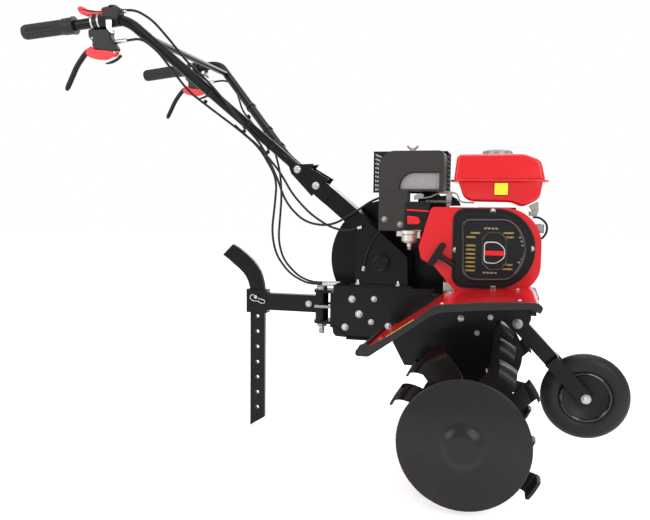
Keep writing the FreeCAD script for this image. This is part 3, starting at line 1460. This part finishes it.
# ---------------------------------------------------------------- front wheel
def front_wheel():
    top = s.bed_z
    body = new_body("FrontLugs")
    for side in (-1, 1):
        low, high = span(side, s.lug_inner, s.lug_inner + s.lug_thick)
        pad(body, "XZ_Plane", low, high, [
            (s.lug_rear_x, top), (s.lug_rear_x, s.pivot_z + s.lug_toe, s.lug_round),
            (s.pivot_x - s.lug_back, s.pivot_z - s.lug_drop, s.lug_round),
            (s.pivot_x + s.lug_ahead, s.pivot_z - s.lug_drop, s.lug_round),
            (s.lug_front_x, s.pivot_z + s.lug_toe, s.lug_round), (s.lug_front_x, top),
        ])
    reach = s.lug_inner + s.lug_thick
    pocket(body, "XZ_Plane", -reach, reach, circles=[(s.pivot_x, s.pivot_z, s.pivot_bolt_radius + s.bolt_play)])
    finish(body, "front_lugs")
    bolt = new_body("PivotBolt")
    pad(bolt, "XZ_Plane", -reach, reach, circles=[(s.pivot_x, s.pivot_z, s.pivot_bolt_radius)])
    for side in (-1, 1):
        low, high = span(side, reach, reach + s.bolt_head_depth)
        pad(bolt, "XZ_Plane", low, high, circles=[(s.pivot_x, s.pivot_z, s.bolt_head_radius + 2)])
    finish(bolt, "wheel_pivot_bolt")
    wheel_arm()
    tyre = new_body("FrontTyre")
    half, outer, inner = s.tyre_width / 2, s.tyre_radius, s.rim_radius
    revolve(tyre, [(-half, inner), (-half, outer, s.tyre_shoulder), (half, outer, s.tyre_shoulder), (half, inner)])
    finish(tyre, "front_tyre", x=s.wheel_x, z=s.wheel_z)
    rim = new_body("FrontRim")
    web, hub, hub_half = s.rim_web / 2, s.wheel_hub_radius, s.wheel_hub_half
    lip = inner - s.rim_web
    bore = s.axle_bolt_radius + s.run_gap
    revolve(rim, [
        (-hub_half, bore), (-hub_half, hub), (-web, hub), (-web, lip), (-half, lip), (-half, inner),
        (half, inner), (half, lip), (web, lip), (web, hub), (hub_half, hub), (hub_half, bore),
    ])
    finish(rim, "front_rim", x=s.wheel_x, z=s.wheel_z)


def wheel_arm():
    """Box arm from the pivot lugs with a fork that carries the wheel's axle bolt; drawn along its own X."""
    run_x, run_z = s.wheel_x - s.pivot_x, s.pivot_z - s.wheel_z
    length = root(run_x * run_x + run_z * run_z)
    fall = Size(math.degrees(math.atan2(run_z, run_x)), "(atan2(%s; %s) / 1 deg)" % (run_z.text, run_x.text))
    body = new_body("WheelArm")
    half = s.arm_half
    end = length - s.tyre_radius - s.fork_gap
    high = s.arm_height / 2
    pad(body, "XZ_Plane", -half, half, [
        (-high, -high, high * 0.9), (end, -high), (end, high), (-high, high, high * 0.9),
    ])
    inner = s.wheel_hub_half + s.part_gap
    outer = inner + s.fork_thick
    pad(body, "YZ_Plane", end - s.fork_thick, end, [(-outer, -high), (outer, -high), (outer, high), (-outer, high)])
    tip = s.fork_width / 2
    for side in (-1, 1):
        low, level = span(side, inner, outer)
        pad(body, "XZ_Plane", low, level, [
            (end - s.fork_thick, -high), (length + tip, -tip, tip * 0.9), (length + tip, tip, tip * 0.9),
            (end - s.fork_thick, high),
        ])
    pocket(body, "XZ_Plane", -half - 1, half + 1, circles=[(0, 0, s.pivot_bolt_radius + s.run_gap)])
    pocket(body, "XZ_Plane", -outer - 1, outer + 1, circles=[(length, 0, s.axle_bolt_radius + s.bolt_play)])
    finish(body, "wheel_arm", x=s.pivot_x, z=s.pivot_z, angle=fall)
    bolt = new_body("WheelAxleBolt")
    pad(bolt, "XZ_Plane", -outer, outer, circles=[(0, 0, s.axle_bolt_radius)])
    for side in (-1, 1):
        low, level = span(side, outer, outer + s.bolt_head_depth)
        pad(bolt, "XZ_Plane", low, level, circles=[(0, 0, s.bolt_head_radius + 1)])
    finish(bolt, "wheel_axle_bolt", x=s.wheel_x, z=s.wheel_z)


# ---------------------------------------------------------------- hitch and drag bar
def hitch():
    half, rear = s.hitch_half, s.hitch_x - s.hitch_over
    wall = s.frame_rear_x - s.hitch_plate
    low, high = s.hitch_low_z, s.hitch_high_z
    body = new_body("HitchBracket")
    pad(body, "YZ_Plane", wall, s.frame_rear_x, [
        (-s.hitch_plate_half, low - s.hitch_plate), (s.hitch_plate_half, low - s.hitch_plate),
        (s.hitch_plate_half, high + s.hitch_plate), (-s.hitch_plate_half, high + s.hitch_plate),
    ])
    for bottom in (low - s.hitch_plate, high):
        pad(body, "XY_Plane", bottom, bottom + s.hitch_plate, [
            (wall, -half), (wall, half), (rear, half, half * 0.8), (rear, -half, half * 0.8),
        ])
    pocket(body, "XY_Plane", low - s.hitch_plate, high + s.hitch_plate,
           circles=[(s.hitch_x, 0, s.hitch_pin_radius + s.bolt_play)])
    finish(body, "hitch_bracket")
    pin = new_body("HitchPin")
    bottom, top = low - s.hitch_plate, high + s.hitch_plate
    pad(pin, "XY_Plane", bottom - s.hitch_pin_tail, top, circles=[(s.hitch_x, 0, s.hitch_pin_radius)])
    pad(pin, "XY_Plane", top, top + s.bolt_head_depth, circles=[(s.hitch_x, 0, s.hitch_pin_radius * 1.8)])
    finish(pin, "hitch_pin")
    holder = new_body("DragBarHolder")
    mid, tall = s.holder_z, s.holder_height / 2
    pad(holder, "XZ_Plane", -s.holder_half, s.holder_half, [
        (s.sleeve_front_x, mid - tall), (s.hitch_x, mid - tall), (s.hitch_x, mid + tall),
        (s.sleeve_front_x, mid + tall),
    ])
    clear = s.part_gap * 4
    pad(holder, "XY_Plane", low + clear, high - clear, circles=[(s.hitch_x, 0, s.barrel_radius)])
    pad(holder, "XY_Plane", s.sleeve_low_z, s.sleeve_high_z, [
        (s.sleeve_rear_x, -s.sleeve_half), (s.sleeve_front_x, -s.sleeve_half),
        (s.sleeve_front_x, s.sleeve_half), (s.sleeve_rear_x, s.sleeve_half),
    ])
    pocket(holder, "XY_Plane", low, high, circles=[(s.hitch_x, 0, s.hitch_pin_radius + s.run_gap)])
    wide, deep = s.drag_width / 2 + s.drag_gap, s.drag_thick / 2 + s.drag_gap
    pocket(holder, "XY_Plane", s.sleeve_low_z, s.sleeve_high_z, [
        (s.drag_x - wide, -deep), (s.drag_x + wide, -deep), (s.drag_x + wide, deep), (s.drag_x - wide, deep),
    ])
    finish(holder, "drag_bar_holder")


def drag_bar():
    """Flat bar with a row of height holes, a slanted foot and a top bent to the rear."""
    body = new_body("DragBar")
    half, deep = s.drag_width / 2, s.drag_thick / 2
    rear, front = s.drag_x - half, s.drag_x + half
    knee = s.drag_knee_z
    lean = s.drag_lean_angle
    back, rise = s.drag_neck * sine(lean), s.drag_neck * cosine(lean)
    across, up = s.drag_width * cosine(lean), s.drag_width * sine(lean)
    mitre = s.drag_width * sine(lean / 2) / cosine(lean / 2)
    pad(body, "XZ_Plane", -deep, deep, [
        (rear, -axle_z), (front, -axle_z + s.drag_foot_rise), (front, knee + mitre, s.drag_knee_radius * 4),
        (rear - back + across, knee + rise + up), (rear - back, knee + rise), (rear, knee, s.drag_knee_radius),
    ])
    rings = []
    for index in range(int(s.drag_hole_count)):
        rings.append((s.drag_x, s.drag_hole_z - s.drag_hole_pitch * index, s.drag_hole_radius))
    pocket(body, "XZ_Plane", -deep, deep, circles=rings)
    finish(body, "drag_bar")


# ---------------------------------------------------------------- build, check and export
def check_and_export():
    doc.recompute()
    for item in doc.Objects:
        if "Invalid" in item.State or "Error" in item.State:
            raise RuntimeError("%s (%s) did not recompute" % (item.Name, item.Label))
    for item in parts:
        if item.Shape.isNull() or not item.Shape.isValid() or not item.Shape.Solids:
            raise RuntimeError("%s has no valid solid" % item.Label)
    for item in parts:
        item.Shape.exportStep("parts/%s.step" % item.Label)
    print("%d sub-parts written" % len(parts))


tine_reel()
gear_case()
frame()
column()
handle_bracket()
handlebars()
controls()
fenders()
engine_block()
fan_shroud()
recoil_cover()
fuel_tank()
intake_and_exhaust()
muffler_guard()
control_cables()
belt_cover()
front_wheel()
hitch()
drag_bar()
check_and_export()
